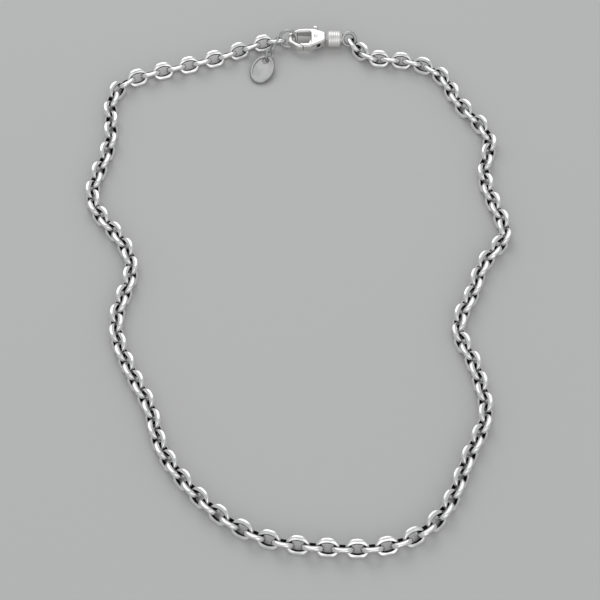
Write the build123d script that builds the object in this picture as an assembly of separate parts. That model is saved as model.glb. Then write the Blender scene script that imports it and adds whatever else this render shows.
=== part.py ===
from build123d import *
from math import atan2, cos, degrees, radians, sin, sqrt
import os

# Chain necklace: an oval cable chain of polished wire links filed on four sides,
# closed by a swivel lobster clasp, with a small oval tag beside the clasp.
# Units are millimetres. The necklace lies on the plane z = 0. The origin is on that
# plane, under the middle of the whole necklace. +Y runs from the front of the loop
# to the clasp at its back.

# ---------------------------------------------------------------- driving sizes
LINK_LENGTH = 5.6          # outer length of a link
LINK_WIDTH = 5.0           # outer width of a link
LINK_THICK = 1.2           # through the link, before filing
END_WALL = 0.88            # wall at the two ends, where neighbours hang
SIDE_WALL = 1.4            # wall at mid-side; the sides are crescents
END_RADIUS = 2.21          # outer radius of a link's ends
HOLE_END_RADIUS = 0.95
LINK_EDGE = 0.40           # rounding of all the link's edges
FILED_REACH = 1.777        # from the chain's axis to every filed plane
LINK_COUNT = 131
LINKS_PER_NODE = 3
ROLL = 45.0                # links lie alternately at plus and minus this roll

# The lie of the chain: points along its axis, from the clasp's hook round the left
# side, along the front and up the right side to the clasp's swivel.
ROUTE = [
    (-6.5, 77.45), (-11.1, 76.3), (-18.5, 72.8), (-26.0, 69.9), (-33.5, 67.6),
    (-41.0, 65.2), (-46.8, 62.2), (-49.8, 56.6), (-49.6, 49.0), (-49.6, 41.5),
    (-51.1, 34.8), (-52.7, 29.0), (-53.2, 23.8), (-51.1, 18.0), (-47.6, 13.2),
    (-44.4, 8.4), (-42.4, 3.2), (-42.3, -2.4), (-43.8, -8.0), (-45.0, -13.4),
    (-44.9, -18.9), (-43.2, -24.7), (-40.8, -30.4), (-38.2, -35.7), (-35.7, -41.2),
    (-34.2, -47.4), (-32.2, -53.2), (-28.8, -58.8), (-24.6, -64.3), (-19.9, -69.2),
    (-14.4, -73.5), (-7.8, -76.7), (-1.0, -78.3), (6.2, -79.0), (13.2, -79.3),
    (20.0, -78.6), (26.4, -76.1), (31.6, -71.8), (35.2, -66.2), (37.7, -60.0),
    (40.0, -53.8), (42.7, -48.0), (44.4, -42.2), (43.9, -36.3), (42.9, -31.0),
    (41.2, -25.2), (38.9, -19.6), (39.4, -14.2), (41.7, -9.3), (43.7, -4.0),
    (45.5, 1.4), (48.6, 6.0), (51.8, 11.2), (50.7, 17.9), (48.2, 26.0),
    (47.8, 34.5), (49.6, 41.3), (47.6, 47.3), (44.4, 51.9), (41.2, 56.8),
    (38.9, 63.0), (34.4, 67.8), (28.8, 70.0), (23.2, 70.8), (18.6, 71.6),
    (16.1, 73.8), (14.8, 76.1),
]
# How far apart neighbouring links lie along the route: (link number, pitch).
# A stretched chain has the longest pitch and a pushed-together one the shortest.
PITCH = [
    (0, 3.58), (18, 3.58), (22, 3.28), (24, 2.98), (28, 3.10), (34, 3.00), (46, 3.00),
    (52, 3.12), (58, 3.30), (64, 3.45), (70, 3.42), (76, 3.34), (84, 3.12), (92, 3.00),
    (106, 2.96), (110, 3.44), (116, 3.48), (120, 3.03), (124, 3.10), (127, 2.94),
    (130, 2.94),
]

TO_MIDDLE = (0.67, -0.45, 0)   # sets the whole necklace evenly about the origin

CLASP_Y = 77.7                 # the clasp's long axis
CLASP_Z = 2.38                 # height of that axis
CLAW_TAIL_X = 7.0              # end of the claw next to the swivel
CLAW_THICK = 2.9               # at the tail; the claw thins towards the hook
HOOK_THICK = 1.7
CLAW_LENGTH = 10.2
CLAW_EDGE = 0.5                # rounding of the claw's edges
SLOT_HALF = 0.65               # half the width of the slot that holds the trigger
TRIGGER_HALF = 0.6             # half the trigger's thickness inside the slot
PIVOT = (-2.7, 0.2)            # trigger's rivet, measured from the claw's tail end
RIVET_RADIUS = 0.4
RIVET_LENGTH = 2.55
RUNNING_FIT = 0.05

BARREL_RADIUS = 2.22
BARREL_LENGTH = 3.6
BARREL_GAP = 0.4               # between the claw's tail and the barrel
STUD_RADIUS = 0.6
STUD_HEAD_RADIUS = 0.95
CAP_LENGTH = 0.35
CAP_RADIUS = 1.7
EYE_RADIUS = 1.7               # centreline radius of the swivel's eye
EYE_WIRE = 1.0
EYE_LEAN = 50.0                # slope of the eye's plane from the table

END_RING_RADIUS = 2.25         # centreline radius of the ring in the hook
END_RING_WIRE = 0.8
END_RING_LEAN = 56.0
END_RING_AT = (-3.2, 77.8, 2.5)

TAG_RING = (5.4, 4.0, 1.5, 0.5)   # oval link: length, width, end radius, wire
TAG_LINK_RADIUS = 1.7             # round jump ring's centreline radius
TAG_LINK_WIRE = 0.6
TAG_LENGTH = 8.6
TAG_WIDTH = 6.4
TAG_THICK = 0.8
TAG_RIM = 0.7
TAG_SUNK = 0.25
TAG_HOLE = 1.0                 # radius of the hole for the jump ring
TAG_HOLE_AT = 2.7              # hole's distance from the tag's middle


# ---------------------------------------------------------------- one link
def arc_of_wire(radius, centre_x, centre_y, middle, half_angle, wire):
    """A bent piece of round wire: part of a torus, centred on the direction middle."""
    start = radians(middle - half_angle)
    section = Plane(
        origin=(radius * cos(start), radius * sin(start), 0),
        x_dir=(cos(start), sin(start), 0),
        z_dir=(-sin(start), cos(start), 0),
    ) * Circle(wire / 2)
    bent = revolve(section, Axis.Z, revolution_arc=2 * half_angle)
    return Pos(centre_x, centre_y, 0) * bent


def oval_wire(length, width, end_radius, wire):
    """A closed oval of round wire, its four arcs running smoothly into each other."""
    half_long = (length - wire) / 2
    half_wide = (width - wire) / 2
    offset = half_long - end_radius
    side_radius = (offset**2 + half_wide**2 - end_radius**2) / (2 * (half_wide - end_radius))
    drop = side_radius - half_wide
    turn = degrees(atan2(drop, offset))
    oval = arc_of_wire(end_radius, offset, 0, 0, turn, wire)
    oval += arc_of_wire(side_radius, 0, -drop, 90, 90 - turn, wire)
    oval += arc_of_wire(end_radius, -offset, 0, 180, turn, wire)
    oval += arc_of_wire(side_radius, 0, drop, 270, 90 - turn, wire)
    return oval


def oval_face(half_long, half_wide, end_radius):
    """A flat oval of four arcs running smoothly into each other."""
    offset = half_long - end_radius
    side_radius = (offset**2 + half_wide**2 - end_radius**2) / (2 * (half_wide - end_radius))
    drop = side_radius - half_wide
    turn = degrees(atan2(drop, offset))
    return make_face([
        CenterArc((offset, 0), end_radius, -turn, 2 * turn),
        CenterArc((0, -drop), side_radius, turn, 180 - 2 * turn),
        CenterArc((-offset, 0), end_radius, 180 - turn, 2 * turn),
        CenterArc((0, drop), side_radius, 180 + turn, 180 - 2 * turn),
    ])


def chain_link():
    """One link lying flat, long axis on X, with its four filed flats."""
    outer = oval_face(LINK_LENGTH / 2, LINK_WIDTH / 2, END_RADIUS)
    hole = oval_face(LINK_LENGTH / 2 - END_WALL, LINK_WIDTH / 2 - SIDE_WALL, HOLE_END_RADIUS)
    link = slab(outer - hole, LINK_THICK / 2)
    rims = link.edges().filter_by(lambda e: abs(abs(e.center().Z) - LINK_THICK / 2) < 0.01)
    square = Rot(X=45) * Box(2 * LINK_LENGTH, 2 * FILED_REACH, 2 * FILED_REACH)
    return fillet(rims, LINK_EDGE) & square


# ---------------------------------------------------------------- the lie of the chain
def pitch_after(number):
    """Distance from link number to the next one, read off the PITCH list."""
    for (low, first), (high, last) in zip(PITCH, PITCH[1:]):
        if number <= high:
            return first + (last - first) * (number - low) / (high - low)
    return PITCH[-1][1]


def link_stations(route_length):
    """Where each link's middle is along the route, filling it exactly."""
    steps = [pitch_after(n + 0.5) for n in range(LINK_COUNT - 1)]
    scale = route_length / sum(steps)
    stations = [0.0]
    for step in steps:
        stations.append(stations[-1] + step * scale)
    return stations


def joints_along(route):
    """Points where neighbouring links meet, with one more beyond each end."""
    stations = link_stations(route.length)
    middles = [(a + b) / 2 for a, b in zip(stations, stations[1:])]
    points = [route.position_at(s, position_mode=PositionMode.LENGTH) for s in middles]
    first = route.position_at(0)
    last = route.position_at(1)
    return [first * 2 - points[0]] + points + [last * 2 - points[-1]]


def link_places():
    """A plane for each link: origin at its middle and X along the chain."""
    route = Edge.make_spline([Vector(x, y, 0) for x, y in ROUTE])
    points = joints_along(route)
    places = []
    for a, b in zip(points, points[1:]):
        middle = (a + b) * 0.5
        places.append(Plane(
            origin=(middle.X, middle.Y, FILED_REACH),
            x_dir=(b.X - a.X, b.Y - a.Y, 0),
            z_dir=(0, 0, 1),
        ))
    return places


def link_roll(number):
    """Every other link lies over the other way."""
    return ROLL if number % 2 == 0 else -ROLL


# ---------------------------------------------------------------- the lobster clasp
def claw_frame(z=0.0):
    """The claw's own axes: origin at its tail end, X along the clasp, Z up."""
    return Pos(CLAW_TAIL_X, CLASP_Y, CLASP_Z + z)


def rounded_polygon(points, radius):
    """A polygon with every corner rounded."""
    flat = make_face(Polyline(*points, close=True))
    return fillet(flat.vertices(), radius)


def slab(flat, half):
    """A flat outline thickened equally up and down."""
    return Pos(0, 0, -half) * extrude(flat, 2 * half)


def claw_blank():
    """Tail and both arms in one closed loop, before the trigger's arm is parted off."""
    outer = rounded_polygon([
        (0, -1.5), (0, 1.6), (-3.4, 3.05), (-7.4, 3.1), (-10.2, 1.3), (-10.2, -1.5),
        (-7.8, -3.6), (-4.0, -3.5),
    ], 0.9)
    eye = rounded_polygon([
        (-4.1, -2.15), (-4.1, 1.75), (-7.4, 1.85), (-8.9, 0.8), (-8.9, -1.0), (-7.7, -2.15),
    ], 0.5)
    side_view = make_face(Polyline(
        (0, CLAW_THICK / 2), (-CLAW_LENGTH, HOOK_THICK / 2), (-CLAW_LENGTH, -HOOK_THICK / 2),
        (0, -CLAW_THICK / 2), close=True,
    ))
    taper = extrude(Plane.XZ * side_view, 6, both=True)
    blank = slab(outer - eye, CLAW_THICK) & taper
    rims = blank.edges().filter_by(lambda e: abs(e.center().Z) > HOOK_THICK / 2 - 0.1)
    return fillet(rims, CLAW_EDGE)


def trigger_arm_area(gap):
    """Area of the near arm that belongs to the trigger, grown by gap at its ends.

    The seam with the hook is square to the line from the rivet at its outer end, so
    no point of it swings towards the hook as the trigger opens.
    """
    return make_face(Polyline(
        (-4.2 + gap, -1.5), (-4.2 + gap, -4.1), (-5.28 - 1.5 * gap, -4.1),
        (-7.87 - 1.5 * gap, -1.9), (-7.87 - 1.5 * gap, -1.5), close=True,
    ))


def trigger_slot():
    """Room for the trigger inside the tail, open to both sides of the claw."""
    x, y = PIVOT
    room = make_face(Polyline(
        (-4.3, -4.5), (-1.6, -4.5), (-1.4, 0), (-1.4, 4.5), (-3.6, 4.5), (-3.6, y + 1.1),
        (-4.3, y + 1.1), close=True,
    ))
    return slab(room + Pos(x, y) * Circle(1.22), SLOT_HALF)


def clasp_body():
    """Tail, far arm and hook of the claw."""
    x, y = PIVOT
    body = claw_blank() - slab(trigger_arm_area(0.1), CLAW_THICK)
    body -= trigger_slot()
    body -= Pos(x, y) * Cylinder(RIVET_RADIUS, 2 * CLAW_THICK)
    body -= Rot(Y=90) * Cylinder(STUD_RADIUS + RUNNING_FIT, 4)
    body -= Pos(-1.25, 0, 0) * Rot(Y=90) * Cylinder(STUD_HEAD_RADIUS + RUNNING_FIT, 0.6)
    return claw_frame() * body


def clasp_trigger():
    """Arm that closes the claw, with its pivoting root and the thumb piece."""
    x, y = PIVOT
    arm = claw_blank() & slab(trigger_arm_area(0), CLAW_THICK)
    root = make_face(Polyline(
        (x + 1.1, y), (-2.6, -3.0), (-3.4, -3.35), (-4.6, -3.5), (-4.6, -2.1), (x - 1.1, y),
        close=True,
    ))
    stem = make_face(Polyline(
        (x - 0.7, y), (x + 0.3, y), (x + 0.2, 3.5), (x - 0.6, 3.5), close=True,
    ))
    trigger = arm + slab(root + Pos(x, y) * Circle(1.15) + stem, TRIGGER_HALF)
    trigger += Pos(x - 0.15, 3.75, 0) * thumb_piece()
    trigger -= Pos(x, y) * Cylinder(RIVET_RADIUS + RUNNING_FIT, 4)
    trigger -= Pos(x, y, 0.1) * Cylinder(0.95, 1, align=(Align.CENTER, Align.CENTER, Align.MIN))
    return claw_frame() * trigger


def thumb_piece():
    """Rounded knob pulled by the thumbnail."""
    return fillet(Box(1.3, 1.0, 1.8).edges(), 0.35)


def clasp_rivet():
    """Pin the trigger turns on, flush with both faces of the claw."""
    return claw_frame() * Pos(*PIVOT) * Cylinder(RIVET_RADIUS, RIVET_LENGTH)


def clasp_spring():
    """Small coil round the rivet, lying in the trigger's pocket."""
    coil = Helix(pitch=0.2, height=0.3, radius=0.7)
    wire = sweep(Plane(origin=coil @ 0, z_dir=coil % 0) * Circle(0.08), path=coil)
    return claw_frame(0.22) * Pos(*PIVOT) * wire


# ---------------------------------------------------------------- the swivel
def swivel_place(x):
    """A point on the swivel's axis, with the piece's own Z along +X."""
    return Pos(x, CLASP_Y, CLASP_Z) * Rot(Y=90)


def turned(profile):
    """A solid of revolution from (along the axis, radius) points."""
    points = [(0, 0, profile[0][0])] + [(r, 0, z) for z, r in profile] + [(0, 0, profile[-1][0])]
    flat = make_face(Polyline(*points, close=True))
    return revolve(flat, Axis.Z)


def barrel_start():
    return CLAW_TAIL_X + BARREL_GAP


def swivel_barrel():
    """Bright barrel with softened ends and shallow turned grooves."""
    r = BARREL_RADIUS
    length = BARREL_LENGTH
    profile = [(0, r - 0.45), (0.15, r - 0.18), (0.4, r)]
    for groove in (1.0, 1.6, 2.2, 2.8):
        profile += [(groove - 0.12, r), (groove, r - 0.06), (groove + 0.12, r)]
    profile += [(length - 0.4, r), (length - 0.15, r - 0.18), (length, r - 0.45)]
    bore = Cylinder(STUD_RADIUS, 3, align=(Align.CENTER, Align.CENTER, Align.MIN))
    return swivel_place(barrel_start()) * (turned(profile) - bore)


def swivel_stud():
    """Headed pin: it turns in the claw's tail and is fixed in the barrel."""
    neck_end = BARREL_GAP + 1.0 + 3.0
    stud = turned([
        (-0.35, STUD_HEAD_RADIUS - 0.1), (-0.25, STUD_HEAD_RADIUS), (0, STUD_HEAD_RADIUS),
        (0, STUD_RADIUS), (neck_end, STUD_RADIUS),
    ])
    return swivel_place(CLAW_TAIL_X - 1.0) * stud


def swivel_cap():
    """Plate that closes the barrel and carries the eye."""
    cap = turned([(0, CAP_RADIUS), (CAP_LENGTH - 0.1, CAP_RADIUS), (CAP_LENGTH, CAP_RADIUS - 0.1)])
    return swivel_place(barrel_start() + BARREL_LENGTH) * cap


def swivel_eye():
    """Ring brazed to the cap; the chain's last right-hand link hangs in it."""
    face = barrel_start() + BARREL_LENGTH + CAP_LENGTH
    ring = leaning_ring(EYE_RADIUS, EYE_WIRE, EYE_LEAN)
    ring = Pos(face + EYE_RADIUS + 0.15, CLASP_Y, CLASP_Z) * ring
    keep = Pos(face, CLASP_Y, CLASP_Z) * Box(8, 8, 8, align=(Align.MIN, Align.CENTER, Align.CENTER))
    return ring & keep


def leaning_ring(radius, wire, lean):
    """A ring whose plane holds the X axis and leans back at the given slope."""
    return Rot(X=lean) * Torus(radius, wire / 2)


# ---------------------------------------------------------------- end ring and tag
def end_ring():
    """Ring on the last left-hand link, caught in the hook of the claw."""
    return Pos(*END_RING_AT) * leaning_ring(END_RING_RADIUS, END_RING_WIRE, END_RING_LEAN)


def tag_ring_place():
    return Plane(origin=(-7.0, 75.0, 3.15), x_dir=(0.357, 0.919, 0.169), z_dir=(0.871, -0.263, -0.414))


def tag_ring():
    """Small oval link that joins the tag to the last left-hand chain link."""
    return tag_ring_place() * oval_wire(*TAG_RING)


def tag_link_place():
    return Plane(origin=(-8.27, 72.05, 2.13), x_dir=(0.474, 0.881, 0), z_dir=(0.857, -0.461, 0.232))


def tag_link():
    """Round jump ring through the tag's hole."""
    return tag_link_place() * Torus(TAG_LINK_RADIUS, TAG_LINK_WIRE / 2)


def tag_place():
    """The tag's plane: X towards its hole, top end lifted off the table."""
    return Plane(origin=(-10.1, 67.6, 1.4), x_dir=(0.32, 0.925, 0.205), z_dir=(-0.07, -0.19, 0.98))


def end_tag():
    """Bare oval plate with a raised rim and a hole near one end."""
    outline = Ellipse(TAG_LENGTH / 2, TAG_WIDTH / 2)
    plate = slab(outline, TAG_THICK / 2)
    plate = chamfer(plate.edges(), 0.2)
    sunk = Ellipse(TAG_LENGTH / 2 - TAG_RIM, TAG_WIDTH / 2 - TAG_RIM)
    plate -= Pos(0, 0, TAG_THICK / 2 - TAG_SUNK) * extrude(sunk, 1)
    plate -= Pos(TAG_HOLE_AT, 0, 0) * Cylinder(TAG_HOLE, 2)
    return tag_place() * plate


# ---------------------------------------------------------------- build every piece
def chain_groups():
    """The chain as named groups of neighbouring links, clasp to clasp."""
    link = chain_link()
    placed = [place * (Rot(X=link_roll(n)) * link) for n, place in enumerate(link_places())]
    groups = {}
    for first in range(0, LINK_COUNT, LINKS_PER_NODE):
        name = "chain_links_%02d" % (first // LINKS_PER_NODE + 1)
        groups[name] = Compound(children=placed[first:first + LINKS_PER_NODE])
    return groups


def all_pieces():
    pieces = chain_groups()
    pieces["clasp_body"] = clasp_body()
    pieces["clasp_trigger"] = clasp_trigger()
    pieces["clasp_rivet"] = clasp_rivet()
    pieces["clasp_spring"] = clasp_spring()
    pieces["swivel_stud"] = swivel_stud()
    pieces["swivel_barrel"] = swivel_barrel()
    pieces["swivel_cap"] = swivel_cap()
    pieces["swivel_eye"] = swivel_eye()
    pieces["end_ring"] = end_ring()
    pieces["tag_ring"] = tag_ring()
    pieces["tag_link"] = tag_link()
    pieces["end_tag"] = end_tag()
    return pieces


os.makedirs("parts", exist_ok=True)
to_middle = Pos(*TO_MIDDLE)
for piece_name, piece in all_pieces().items():
    export_step(to_middle * piece, "parts/%s.step" % piece_name)
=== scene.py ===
from math import atan2, cos, pi, radians, sin, sqrt

import bpy
import numpy as np
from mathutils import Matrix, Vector


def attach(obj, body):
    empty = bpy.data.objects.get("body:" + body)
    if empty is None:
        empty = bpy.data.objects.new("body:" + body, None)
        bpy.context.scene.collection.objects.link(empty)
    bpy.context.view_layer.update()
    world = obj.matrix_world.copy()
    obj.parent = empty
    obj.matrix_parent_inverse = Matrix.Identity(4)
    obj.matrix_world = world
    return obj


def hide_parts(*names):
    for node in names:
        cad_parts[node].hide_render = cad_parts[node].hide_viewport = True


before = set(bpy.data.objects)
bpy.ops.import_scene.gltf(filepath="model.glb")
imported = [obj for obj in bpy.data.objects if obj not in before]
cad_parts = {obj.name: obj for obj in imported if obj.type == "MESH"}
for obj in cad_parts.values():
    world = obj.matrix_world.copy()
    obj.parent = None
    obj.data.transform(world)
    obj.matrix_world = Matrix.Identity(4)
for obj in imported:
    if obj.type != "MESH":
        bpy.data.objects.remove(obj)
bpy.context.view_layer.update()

# ---------------------------------------------------------------- driving sizes, in metres
MM = 0.001
LINK_LENGTH = 5.6 * MM
LINK_WIDTH = 5.0 * MM
LINK_THICK = 1.2 * MM
END_WALL = 0.88 * MM
SIDE_WALL = 1.4 * MM
END_RADIUS = 2.21 * MM
HOLE_END_RADIUS = 0.95 * MM
LINK_EDGE = 0.40 * MM                   # radius of the wall's edges
FILED_REACH = 1.777 * MM                # from a link's long axis to its filed planes
SOFT = 0.20 * MM                        # depth over which a filed edge rounds off
AROUND = 96                             # steps round a link
CORNER = 7                              # points in each rounded edge of its section
WELD_DECIMALS = 7                       # corners that agree to these decimals are one

CLASP_GRAIN = 0.10 * MM                 # cells that the claw is rebuilt from
CLASP_PASSES = 14                       # smoothing passes that roll its edges over
CLASP_SMOOTHING = 0.5                   # how far each pass goes

CAMERA_AT = (0.00067, -0.32915, 0.4418)
LOOK_AT = (0.00067, -0.00815, 0.0)
CAMERA_LENS = 132                       # in millimetres, as is the sensor
SENSOR_WIDTH = 36

# ---------------------------------------------------------------- wear of a link and painted shade in its hole, 0 to 1
RUBBED_AND_UNSHADED_FROM = -0.80                     # cosine round the wall's section where rubbing starts and the painted shade of the hole ends
RUBBED_AND_UNSHADED_SPAN = 0.75                      # and the span over which it grows
RUBBED_MOST = 0.92                      # a filed surface has 1
FILED_DEPTH = 0.03 * MM                 # a cut this deep leaves a wholly filed surface
PATTERN_STEP = 9.0                      # shift of the pattern from one link to the next

# ---------------------------------------------------------------- metal, floor and light
LINK_TONES = [                          # wear and painted shade, and the metal's colour there: the black is oxide patina darkened further as painted shade
    (0.22, (0.012, 0.013, 0.015)), (0.42, (0.10, 0.10, 0.105)),
    (0.60, (0.56, 0.555, 0.545)), (0.82, (0.86, 0.855, 0.84)),
]
NOISE_MIDDLE = 0.5
RAGGEDNESS = 0.5                        # how far noise moves the border of the wear and painted shade
SCRATCH_SCALE = 2500                    # per metre, as is every noise scale of a plain metal
SCRATCH_DEPTH = 0.03 * MM
TARNISH_BLEND = 0.3                     # width of the change from dark to light metal
FLOOR_SIZE = 6
FLOOR_COLOUR = (0.56, 0.555, 0.545, 1)
FLOOR_ROUGHNESS = 0.75
SKY_COLOUR = (0.9, 0.92, 0.95, 1)
SKY_STRENGTH = 0.58


# ---------------------------------------------------------------- materials
def new_material(name):
    """An empty node tree with one shader joined to the output."""
    mat = bpy.data.materials.new(name)
    mat.use_nodes = True
    nodes = mat.node_tree.nodes
    nodes.clear()
    out = nodes.new("ShaderNodeOutputMaterial")
    shader = nodes.new("ShaderNodeBsdfPrincipled")
    mat.node_tree.links.new(shader.outputs[0], out.inputs[0])
    return mat, nodes, mat.node_tree.links, shader


def noise(nodes, links, where, scale, detail=4.0, stretch=(1, 1, 1)):
    """Noise over a position, stretched so that it can run in streaks."""
    mapping = nodes.new("ShaderNodeMapping")
    mapping.inputs["Scale"].default_value = stretch
    links.new(where, mapping.inputs["Vector"])
    tex = nodes.new("ShaderNodeTexNoise")
    tex.inputs["Scale"].default_value = scale
    tex.inputs["Detail"].default_value = detail
    links.new(mapping.outputs[0], tex.inputs["Vector"])
    return tex.outputs["Fac"]


def ramp(nodes, links, value, stops):
    """Colour ramp from (position, colour) stops."""
    node = nodes.new("ShaderNodeValToRGB")
    elements = node.color_ramp.elements
    while len(elements) < len(stops):
        elements.new(0.5)                # its place is set below
    for element, (position, colour) in zip(elements, stops):
        element.position = position
        element.color = (*colour, 1)
    links.new(value, node.inputs[0])
    return node.outputs[0]


def combine(nodes, links, operation, a, b):
    """Output of a math node on two inputs, each a number or a socket."""
    node = nodes.new("ShaderNodeMath")
    node.operation = operation
    for socket, value in zip(node.inputs, (a, b)):
        if isinstance(value, (int, float)):
            socket.default_value = value
        else:
            links.new(value, socket)
    return node.outputs[0]


def scratched_metal(nodes, links, shader, scratch, rough_low, rough_span, strength):
    """Make the shader a metal whose roughness and bump follow one scratch pattern."""
    rough = combine(nodes, links, "MULTIPLY_ADD", scratch, rough_span)
    rough.node.inputs[2].default_value = rough_low
    links.new(rough, shader.inputs["Roughness"])
    shader.inputs["Metallic"].default_value = 1.0
    bump = nodes.new("ShaderNodeBump")
    bump.inputs["Strength"].default_value = strength
    bump.inputs["Distance"].default_value = SCRATCH_DEPTH
    links.new(scratch, bump.inputs["Height"])
    links.new(bump.outputs[0], shader.inputs["Normal"])


def link_metal():
    """Bright brushed metal where the link is filed and rubbed, black in its recesses from oxide
    patina and painted shade.
    """
    mat, nodes, links, shader = new_material("oxidised_and_shaded_link_metal")
    wear_and_shade = nodes.new("ShaderNodeAttribute")
    wear_and_shade.attribute_name = "wear_and_shade"
    local = nodes.new("ShaderNodeAttribute")
    local.attribute_name = "local"
    blotch = noise(nodes, links, local.outputs["Vector"], scale=1.6)
    streak = noise(nodes, links, local.outputs["Vector"], scale=3.0, detail=6.0,
                   stretch=(0.6, 7, 7))
    centred = combine(nodes, links, "SUBTRACT", blotch, NOISE_MIDDLE)
    ragged = combine(nodes, links, "MULTIPLY", centred, RAGGEDNESS)
    shown = combine(nodes, links, "ADD", wear_and_shade.outputs["Fac"], ragged)
    # a low value gives black: oxide patina in the hollows plus painted shade for the shadow in
    # the hole
    links.new(ramp(nodes, links, shown, LINK_TONES), shader.inputs["Base Color"])
    scratched_metal(nodes, links, shader, streak, rough_low=0.27, rough_span=0.16,
                    strength=0.12)
    return mat


def plain_metal(name, light, dark, rough_low, rough_span, scale, patches):
    """Solid metal with fine scratches and a little tarnish."""
    mat, nodes, links, shader = new_material(name)
    place = nodes.new("ShaderNodeTexCoord").outputs["Object"]
    tarnish = noise(nodes, links, place, scale)
    scratch = noise(nodes, links, place, SCRATCH_SCALE, detail=5.0, stretch=(1, 6, 6))
    links.new(ramp(nodes, links, tarnish, [(patches, dark), (patches + TARNISH_BLEND, light)]),
              shader.inputs["Base Color"])
    scratched_metal(nodes, links, shader, scratch, rough_low, rough_span, strength=0.15)
    return mat


def floor_material():
    """Plain pale matt floor."""
    mat, _, _, shader = new_material("pale_floor")
    shader.inputs["Base Color"].default_value = FLOOR_COLOUR
    shader.inputs["Roughness"].default_value = FLOOR_ROUGHNESS
    return mat


# ---------------------------------------------------------------- one link
def oval_reach(half_long, half_wide, end_radius, angle):
    """Distance from the middle of a four-arc oval to its edge in one direction."""
    offset = half_long - end_radius
    side = (offset**2 + half_wide**2 - end_radius**2) / (2 * (half_wide - end_radius))
    drop = side - half_wide
    turn = atan2(drop, offset)
    joint = atan2(end_radius * sin(turn), offset + end_radius * cos(turn))
    c, s = abs(cos(angle)), abs(sin(angle))
    at_end = atan2(s, c) < joint
    x, y, radius = (offset, 0, end_radius) if at_end else (0, -drop, side)
    along = c * x + s * y
    return along + sqrt(along**2 - x**2 - y**2 + radius**2)


def soft_clamp(value, limit):
    """value held under limit, easing in so that the filed edge is not a knife, and the cut."""
    size = np.abs(value)
    knee = limit - SOFT
    over = np.maximum(size - knee, 0)
    held = np.where(size > knee, knee + SOFT * np.tanh(over / SOFT), size)
    return np.sign(value) * held, size - held


def section_turns():
    """Directions round the wall's section, each corner in CORNER steps."""
    return [(q, (q + step / (CORNER - 1)) * pi / 2) for q in range(4) for step in range(CORNER)]


def link_mesh():
    """Local vertices, faces and wear of one filed link, long axis on X; the wear value also
    holds painted shade on the walls facing the hole.
    """
    turns = section_turns()
    rows, wear_and_shade = [], []
    for k in range(AROUND):
        angle = 2 * pi * k / AROUND
        outer = oval_reach(LINK_LENGTH / 2, LINK_WIDTH / 2, END_RADIUS, angle)
        inner = oval_reach(LINK_LENGTH / 2 - END_WALL, LINK_WIDTH / 2 - SIDE_WALL,
                           HOLE_END_RADIUS, angle)
        middle = (outer + inner) / 2
        flat = (outer - inner) / 2 - LINK_EDGE
        tall = LINK_THICK / 2 - LINK_EDGE
        for quarter, turn in turns:
            out = middle + (flat if quarter in (0, 3) else -flat) + LINK_EDGE * cos(turn)
            up = (tall if quarter in (0, 1) else -tall) + LINK_EDGE * sin(turn)
            rows.append((out * cos(angle), out * sin(angle), up))
            # the wall's side facing the hole stays low: oxide patina there, with painted shade
            # for the hole's shadow
            wear_and_shade.append(min(1.0, max(0.0, (cos(turn) - RUBBED_AND_UNSHADED_FROM) / RUBBED_AND_UNSHADED_SPAN)))
    points = np.array(rows)
    u, cut_u = soft_clamp((points[:, 1] - points[:, 2]) / sqrt(2), FILED_REACH)
    v, cut_v = soft_clamp((points[:, 1] + points[:, 2]) / sqrt(2), FILED_REACH)
    points[:, 1] = (u + v) / sqrt(2)
    points[:, 2] = (v - u) / sqrt(2)
    filed = np.clip((cut_u + cut_v) / FILED_DEPTH, 0, 1)
    wear_and_shade = np.maximum(filed, RUBBED_MOST * np.array(wear_and_shade))
    across = len(turns)
    faces = []
    for i in range(AROUND):
        for j in range(across):
            k, m = (i + 1) % AROUND, (j + 1) % across
            faces.append((i * across + j, k * across + j, k * across + m, i * across + m))
    return points, faces, wear_and_shade


def separate_links(obj):
    """The corner sets of the separate solids in a CAD node."""
    mesh = obj.data
    co = np.empty(len(mesh.vertices) * 3)
    mesh.vertices.foreach_get("co", co)
    co = co.reshape(-1, 3)
    _, merged = np.unique(np.round(co, WELD_DECIMALS), axis=0, return_inverse=True)
    merged = merged.reshape(-1)
    parent = np.arange(merged.max() + 1)

    def root(n):
        while parent[n] != n:
            parent[n] = parent[parent[n]]
            n = parent[n]
        return n

    mesh.calc_loop_triangles()
    triangles = [merged[list(t.vertices)] for t in mesh.loop_triangles]
    for a, b, c in triangles:
        parent[root(a)] = root(b)
        parent[root(b)] = root(c)
    first = {int(m): i for i, m in enumerate(merged)}
    parts = {}
    for a, b, c in triangles:
        parts.setdefault(root(a), []).append([co[first[int(n)]] for n in (a, b, c)])
    return [np.array(t) for t in parts.values()]


def link_axes(triangles):
    """Middle and axes of a link from its own surface: along, across and through it.

    A link is thinnest through its hole, and its long axis lies level.
    """
    a, b, c = triangles[:, 0], triangles[:, 1], triangles[:, 2]
    area = np.linalg.norm(np.cross(b - a, c - a), axis=1)
    middle = (triangles.min(axis=(0, 1)) + triangles.max(axis=(0, 1))) / 2
    spread = np.zeros((3, 3))
    for corner in (a, b, c):
        d = corner - middle
        spread += (d * area[:, None]).T @ d
    _, vectors = np.linalg.eigh(spread)
    through = vectors[:, 0]
    along = np.cross(through, (0, 0, 1.0))
    along /= np.linalg.norm(along)
    return middle, along, np.cross(through, along), through


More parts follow.
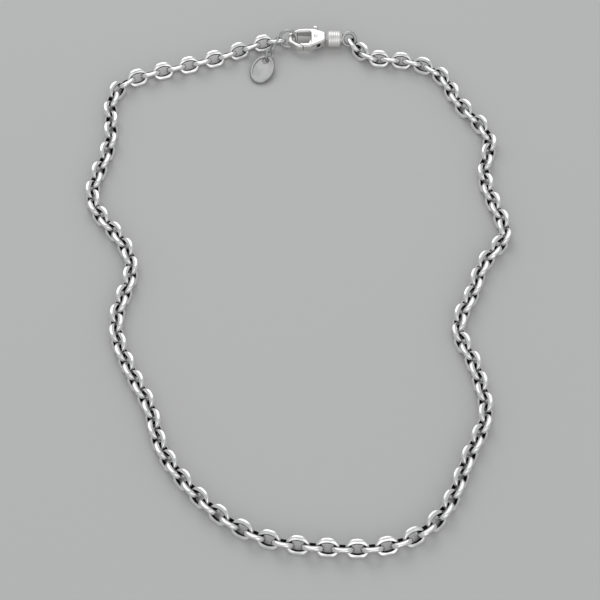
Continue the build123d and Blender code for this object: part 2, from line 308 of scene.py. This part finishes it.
def build_chain(metal):
    """A finer piece for every chain node, with each link's wear and painted shade."""
    points, faces, wear_and_shade = link_mesh()
    count = 0
    for name in sorted(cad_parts):
        if not name.startswith("chain_links_"):
            continue
        corners, quads, worn_and_shaded, local = [], [], [], []
        for triangles in separate_links(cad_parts[name]):
            middle, along, across, through = link_axes(triangles)
            base = len(corners)
            corners.extend(middle + points @ np.array([along, across, through]))
            quads.extend(tuple(base + n for n in face) for face in faces)
            worn_and_shaded.extend(wear_and_shade)
            local.extend(points / MM + PATTERN_STEP * count)
            count += 1
        mesh = bpy.data.meshes.new("fine_" + name)
        mesh.from_pydata(corners, [], quads)
        mesh.attributes.new("wear_and_shade", "FLOAT", "POINT").data.foreach_set("value", worn_and_shaded)
        mesh.attributes.new("local", "FLOAT_VECTOR", "POINT").data.foreach_set(
            "vector", np.array(local).reshape(-1))
        mesh.shade_smooth()
        mesh.materials.append(metal)
        piece = bpy.data.objects.new("fine_" + name, mesh)
        bpy.context.collection.objects.link(piece)
        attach(piece, "links_" + name[-2:])
        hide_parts(name)
    print("links rebuilt:", count)


def soften(name, body, material):
    """The same solid with its edges rolled over, as on a tumbled casting."""
    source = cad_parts[name]
    piece = source.copy()
    piece.data = source.data.copy()
    piece.name = "soft_" + name
    bpy.context.collection.objects.link(piece)
    piece.data.materials.clear()
    piece.data.materials.append(material)
    remesh = piece.modifiers.new("remesh", "REMESH")
    remesh.mode = "VOXEL"
    remesh.voxel_size = CLASP_GRAIN
    smooth = piece.modifiers.new("smooth", "SMOOTH")
    smooth.factor = CLASP_SMOOTHING
    smooth.iterations = CLASP_PASSES
    graph = bpy.context.evaluated_depsgraph_get()
    rolled = bpy.data.meshes.new_from_object(piece.evaluated_get(graph))
    piece.modifiers.clear()
    piece.data = rolled
    piece.data.shade_smooth()
    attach(piece, body)
    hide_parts(name)


def give(material, *names):
    """One material on CAD pieces whose shape is right as it is."""
    for name in names:
        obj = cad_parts[name]
        obj.data.materials.clear()
        obj.data.materials.append(material)


# ---------------------------------------------------------------- floor, light and camera
def area_light(name, at, size, power):
    """Round softbox aimed at the middle of the necklace, with its power in watts."""
    light = bpy.data.lights.new(name, "AREA")
    light.shape = "DISK"
    light.size = size
    light.energy = power
    obj = bpy.data.objects.new(name, light)
    obj.location = at
    obj.rotation_euler = (-Vector(at)).to_track_quat("-Z", "Y").to_euler()
    bpy.context.collection.objects.link(obj)


def studio():
    """Floor, two softboxes and an even sky."""
    bpy.ops.mesh.primitive_plane_add(size=FLOOR_SIZE, location=(0, 0, 0))
    floor = bpy.context.object
    floor.name = "floor"
    floor.data.materials.append(floor_material())
    area_light("back_softbox", at=(-0.15, 0.55, 0.60), size=0.7, power=1.9)
    area_light("front_fill", at=(0.20, -0.75, 0.50), size=0.8, power=1.8)
    world = bpy.data.worlds.new("studio")
    world.use_nodes = True
    background = world.node_tree.nodes["Background"]
    background.inputs["Color"].default_value = SKY_COLOUR
    background.inputs["Strength"].default_value = SKY_STRENGTH
    bpy.context.scene.world = world


def camera():
    """Long lens from the front, 54 degrees above the floor."""
    data = bpy.data.cameras.new("camera")
    data.lens = CAMERA_LENS
    data.sensor_width = SENSOR_WIDTH
    obj = bpy.data.objects.new("camera", data)
    obj.location = CAMERA_AT
    aim = Vector(LOOK_AT) - Vector(CAMERA_AT)
    obj.rotation_euler = aim.to_track_quat("-Z", "Y").to_euler()
    bpy.context.collection.objects.link(obj)
    bpy.context.scene.camera = obj


build_chain(link_metal())
clasp_metal = plain_metal(
    "polished_clasp_metal", light=(0.80, 0.79, 0.77), dark=(0.64, 0.635, 0.62),
    rough_low=0.30, rough_span=0.14, scale=350, patches=0.3)
barrel_metal = plain_metal(
    "satin_barrel_metal", light=(0.90, 0.885, 0.86), dark=(0.80, 0.79, 0.77),
    rough_low=0.42, rough_span=0.12, scale=350, patches=0.3)
ring_metal = plain_metal(
    "dull_ring_metal", light=(0.60, 0.60, 0.59), dark=(0.38, 0.38, 0.38),
    rough_low=0.36, rough_span=0.2, scale=420, patches=0.3)
tag_metal = plain_metal(
    "worn_tag_metal", light=(0.46, 0.46, 0.45), dark=(0.36, 0.36, 0.355),
    rough_low=0.44, rough_span=0.1, scale=260, patches=0.35)
pin_metal = plain_metal(
    "pin_metal", light=(0.60, 0.60, 0.60), dark=(0.40, 0.40, 0.40),
    rough_low=0.28, rough_span=0.15, scale=1800, patches=0.3)

soften("clasp_body", "clasp", clasp_metal)
give(clasp_metal, "clasp_trigger")
give(barrel_metal, "swivel_barrel")
give(ring_metal, "swivel_eye", "swivel_cap", "end_ring", "tag_ring", "tag_link")
give(tag_metal, "end_tag")
give(pin_metal, "clasp_rivet", "clasp_spring", "swivel_stud")
studio()
camera()
bpy.context.scene.view_settings.view_transform = "Standard"
